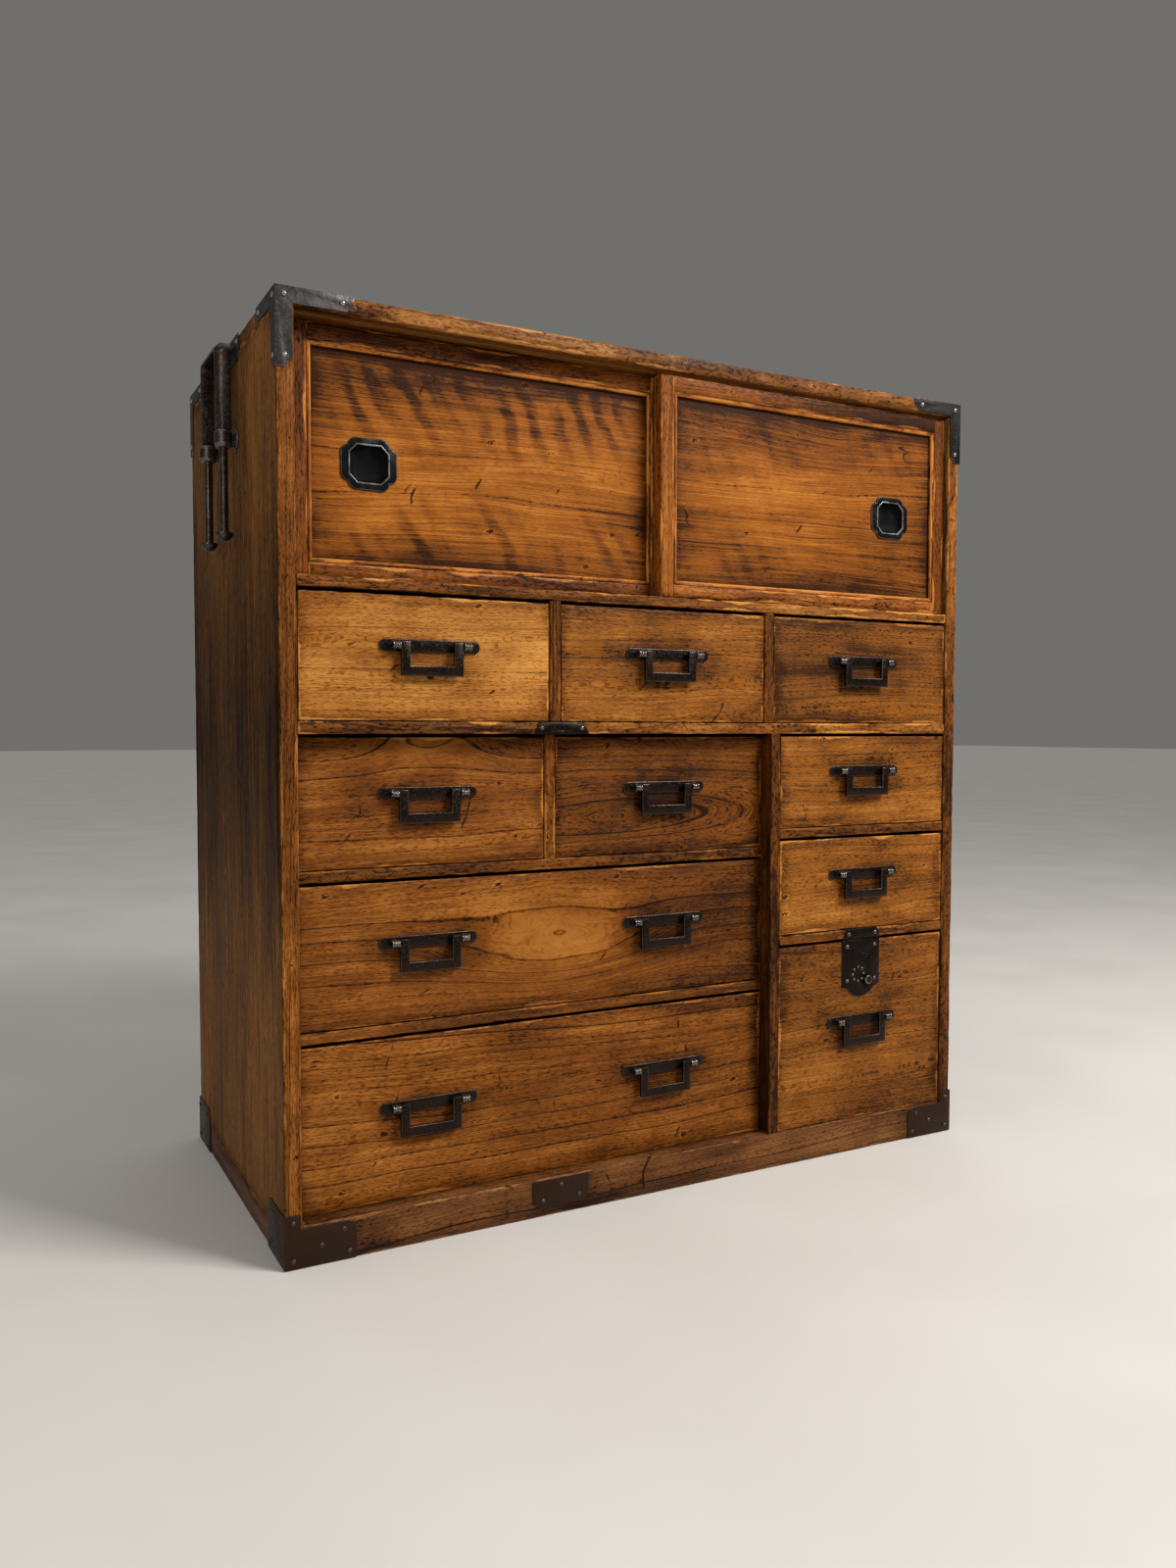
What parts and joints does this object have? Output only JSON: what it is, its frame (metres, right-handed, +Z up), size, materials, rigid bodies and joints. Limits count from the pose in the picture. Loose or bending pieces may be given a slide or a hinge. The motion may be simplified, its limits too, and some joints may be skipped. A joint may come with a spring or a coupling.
{
  "type": "merchant chest",
  "caption": "Wooden merchant chest with sliding doors over rows of drawers, a set-back drawer bay, iron corner straps, swinging bail handles and pole handles that draw up.",
  "frame": {"origin": "on the floor, under the middle of the chest's bounding box", "axes": "+Z up; the drawers and doors face -Y; +X to the right of someone facing the chest"},
  "size_m": [0.954, 0.4658, 0.979],
  "materials": {
    "case_wood": "satin, worn oil polish",
    "frame_wood": "satin, worn arrises",
    "drawer_wood": "satin polish",
    "bay_drawer_wood": "satin polish",
    "door_wood": "semi-gloss polish",
    "base_wood": "satin, worn",
    "inner_wood": "bare, matt",
    "strap_iron": "blackened, worn",
    "handle_iron": "blackened, worn",
    "forged_iron": "forged, brown patina",
    "black_lacquer": "gloss black"
  },
  "bodies": {
    "chest": {"left_side_panel": "case_wood", "right_side_panel": "case_wood", "top_board": "case_wood", "bottom_board": "inner_wood", "back_boards": "inner_wood", "base_frame": "base_wood", "shelf_boards": "frame_wood", "drawer_dividers": "frame_wood", "corner_irons": "strap_iron", "pole_handle_sleeves": "forged_iron"},
    "row_left_drawer": {"row_left_drawer_front": "drawer_wood", "row_left_drawer_box": "inner_wood", "row_left_drawer_irons": "handle_iron"},
    "row_left_drawer_bail": {"row_left_drawer_bail": "handle_iron"},
    "row_middle_drawer": {"row_middle_drawer_front": "drawer_wood", "row_middle_drawer_box": "inner_wood", "row_middle_drawer_irons": "handle_iron"},
    "row_middle_drawer_bail": {"row_middle_drawer_bail": "handle_iron"},
    "row_right_drawer": {"row_right_drawer_front": "drawer_wood", "row_right_drawer_box": "inner_wood", "row_right_drawer_irons": "handle_iron"},
    "row_right_drawer_bail": {"row_right_drawer_bail": "handle_iron"},
    "small_left_drawer": {"small_left_drawer_front": "bay_drawer_wood", "small_left_drawer_box": "inner_wood", "small_left_drawer_irons": "handle_iron"},
    "small_left_drawer_bail": {"small_left_drawer_bail": "handle_iron"},
    "small_right_drawer": {"small_right_drawer_front": "bay_drawer_wood", "small_right_drawer_box": "inner_wood", "small_right_drawer_irons": "handle_iron"},
    "small_right_drawer_bail": {"small_right_drawer_bail": "handle_iron"},
    "wide_upper_drawer": {"wide_upper_drawer_front": "bay_drawer_wood", "wide_upper_drawer_box": "inner_wood", "wide_upper_drawer_irons": "handle_iron"},
    "wide_upper_drawer_left_bail": {"wide_upper_drawer_left_bail": "handle_iron"},
    "wide_upper_drawer_right_bail": {"wide_upper_drawer_right_bail": "handle_iron"},
    "wide_lower_drawer": {"wide_lower_drawer_front": "bay_drawer_wood", "wide_lower_drawer_box": "inner_wood", "wide_lower_drawer_irons": "handle_iron"},
    "wide_lower_drawer_left_bail": {"wide_lower_drawer_left_bail": "handle_iron"},
    "wide_lower_drawer_right_bail": {"wide_lower_drawer_right_bail": "handle_iron"},
    "side_upper_drawer": {"side_upper_drawer_front": "drawer_wood", "side_upper_drawer_box": "inner_wood", "side_upper_drawer_irons": "handle_iron"},
    "side_upper_drawer_bail": {"side_upper_drawer_bail": "handle_iron"},
    "side_middle_drawer": {"side_middle_drawer_front": "drawer_wood", "side_middle_drawer_box": "inner_wood", "side_middle_drawer_irons": "handle_iron"},
    "side_middle_drawer_bail": {"side_middle_drawer_bail": "handle_iron"},
    "side_lower_drawer": {"side_lower_drawer_front": "drawer_wood", "side_lower_drawer_box": "inner_wood", "side_lower_drawer_irons": "handle_iron"},
    "side_lower_drawer_bail": {"side_lower_drawer_bail": "handle_iron"},
    "lock_bolt": {"lock_bolt": "forged_iron"},
    "lock_button": {"lock_button": "handle_iron"},
    "left_door": {"left_door": "door_wood", "left_door_pull": "black_lacquer"},
    "right_door": {"right_door": "door_wood", "right_door_pull": "black_lacquer"},
    "left_pole_handle": {"left_pole_handle": "forged_iron"},
    "right_pole_handle": {"right_pole_handle": "forged_iron"}
  },
  "joints": [
    {"name": "row_left_drawer_slide", "type": "slide", "parent": "chest", "child": "row_left_drawer", "axis": [0, -1, 0], "range_m": [0, 0.3]},
    {"name": "row_left_drawer_bail_hinge", "type": "hinge", "parent": "row_left_drawer", "child": "row_left_drawer_bail", "pos_m": [-0.29487, -0.2267, 0.63375], "axis": [-1, 0, 0], "range_deg": [0, 95]},
    {"name": "row_middle_drawer_slide", "type": "slide", "parent": "chest", "child": "row_middle_drawer", "axis": [0, -1, 0], "range_m": [0, 0.3]},
    {"name": "row_middle_drawer_bail_hinge", "type": "hinge", "parent": "row_middle_drawer", "child": "row_middle_drawer_bail", "pos_m": [-0.00175, -0.2267, 0.63375], "axis": [-1, 0, 0], "range_deg": [0, 95]},
    {"name": "row_right_drawer_slide", "type": "slide", "parent": "chest", "child": "row_right_drawer", "axis": [0, -1, 0], "range_m": [0, 0.3]},
    {"name": "row_right_drawer_bail_hinge", "type": "hinge", "parent": "row_right_drawer", "child": "row_right_drawer_bail", "pos_m": [0.29313, -0.2267, 0.63375], "axis": [-1, 0, 0], "range_deg": [0, 95]},
    {"name": "small_left_drawer_slide", "type": "slide", "parent": "chest", "child": "small_left_drawer", "axis": [0, -1, 0], "range_m": [0, 0.28]},
    {"name": "small_left_drawer_bail_hinge", "type": "hinge", "parent": "small_left_drawer", "child": "small_left_drawer_bail", "pos_m": [-0.29113, -0.2077, 0.47925], "axis": [-1, 0, 0], "range_deg": [0, 95]},
    {"name": "small_right_drawer_slide", "type": "slide", "parent": "chest", "child": "small_right_drawer", "axis": [0, -1, 0], "range_m": [0, 0.28]},
    {"name": "small_right_drawer_bail_hinge", "type": "hinge", "parent": "small_right_drawer", "child": "small_right_drawer_bail", "pos_m": [0.0055, -0.2077, 0.47925], "axis": [-1, 0, 0], "range_deg": [0, 95]},
    {"name": "wide_upper_drawer_slide", "type": "slide", "parent": "chest", "child": "wide_upper_drawer", "axis": [0, -1, 0], "range_m": [0, 0.28]},
    {"name": "wide_upper_drawer_left_bail_hinge", "type": "hinge", "parent": "wide_upper_drawer", "child": "wide_upper_drawer_left_bail", "pos_m": [-0.29113, -0.2077, 0.32075], "axis": [-1, 0, 0], "range_deg": [0, 95]},
    {"name": "wide_upper_drawer_right_bail_hinge", "type": "hinge", "parent": "wide_upper_drawer", "child": "wide_upper_drawer_right_bail", "pos_m": [0.0055, -0.2077, 0.32075], "axis": [-1, 0, 0], "range_deg": [0, 95]},
    {"name": "wide_lower_drawer_slide", "type": "slide", "parent": "chest", "child": "wide_lower_drawer", "axis": [0, -1, 0], "range_m": [0, 0.28]},
    {"name": "wide_lower_drawer_left_bail_hinge", "type": "hinge", "parent": "wide_lower_drawer", "child": "wide_lower_drawer_left_bail", "pos_m": [-0.29113, -0.2077, 0.144], "axis": [-1, 0, 0], "range_deg": [0, 95]},
    {"name": "wide_lower_drawer_right_bail_hinge", "type": "hinge", "parent": "wide_lower_drawer", "child": "wide_lower_drawer_right_bail", "pos_m": [0.0055, -0.2077, 0.144], "axis": [-1, 0, 0], "range_deg": [0, 95]},
    {"name": "side_upper_drawer_slide", "type": "slide", "parent": "chest", "child": "side_upper_drawer", "axis": [0, -1, 0], "range_m": [0, 0.3]},
    {"name": "side_upper_drawer_bail_hinge", "type": "hinge", "parent": "side_upper_drawer", "child": "side_upper_drawer_bail", "pos_m": [0.29663, -0.2267, 0.49475], "axis": [-1, 0, 0], "range_deg": [0, 95]},
    {"name": "side_middle_drawer_slide", "type": "slide", "parent": "chest", "child": "side_middle_drawer", "axis": [0, -1, 0], "range_m": [0, 0.3]},
    {"name": "side_middle_drawer_bail_hinge", "type": "hinge", "parent": "side_middle_drawer", "child": "side_middle_drawer_bail", "pos_m": [0.29663, -0.2267, 0.36275], "axis": [-1, 0, 0], "range_deg": [0, 95]},
    {"name": "side_lower_drawer_slide", "type": "slide", "parent": "chest", "child": "side_lower_drawer", "axis": [0, -1, 0], "range_m": [0, 0.3]},
    {"name": "side_lower_drawer_bail_hinge", "type": "hinge", "parent": "side_lower_drawer", "child": "side_lower_drawer_bail", "pos_m": [0.29663, -0.2267, 0.172], "axis": [-1, 0, 0], "range_deg": [0, 95]},
    {"name": "lock_button_press", "type": "slide", "parent": "side_lower_drawer", "child": "lock_button", "axis": [0, 1, 0], "range_m": [0, 0.004]},
    {"name": "lock_bolt_rise", "type": "slide", "parent": "side_lower_drawer", "child": "lock_bolt", "axis": [0, 0, 1], "range_m": [0, 0.008]},
    {"name": "left_door_slide", "type": "slide", "parent": "chest", "child": "left_door", "axis": [1, 0, 0], "range_m": [0, 0.426]},
    {"name": "right_door_slide", "type": "slide", "parent": "chest", "child": "right_door", "axis": [-1, 0, 0], "range_m": [0, 0.426]},
    {"name": "left_pole_handle_slide", "type": "slide", "parent": "chest", "child": "left_pole_handle", "axis": [0, 0, 1], "range_m": [0, 0.0925]},
    {"name": "right_pole_handle_slide", "type": "slide", "parent": "chest", "child": "right_pole_handle", "axis": [0, 0, 1], "range_m": [0, 0.0925]}
  ],
  "couplings": [
    {"joint": "lock_bolt_rise", "follows": "lock_button_press", "ratio": 2}
  ]
}
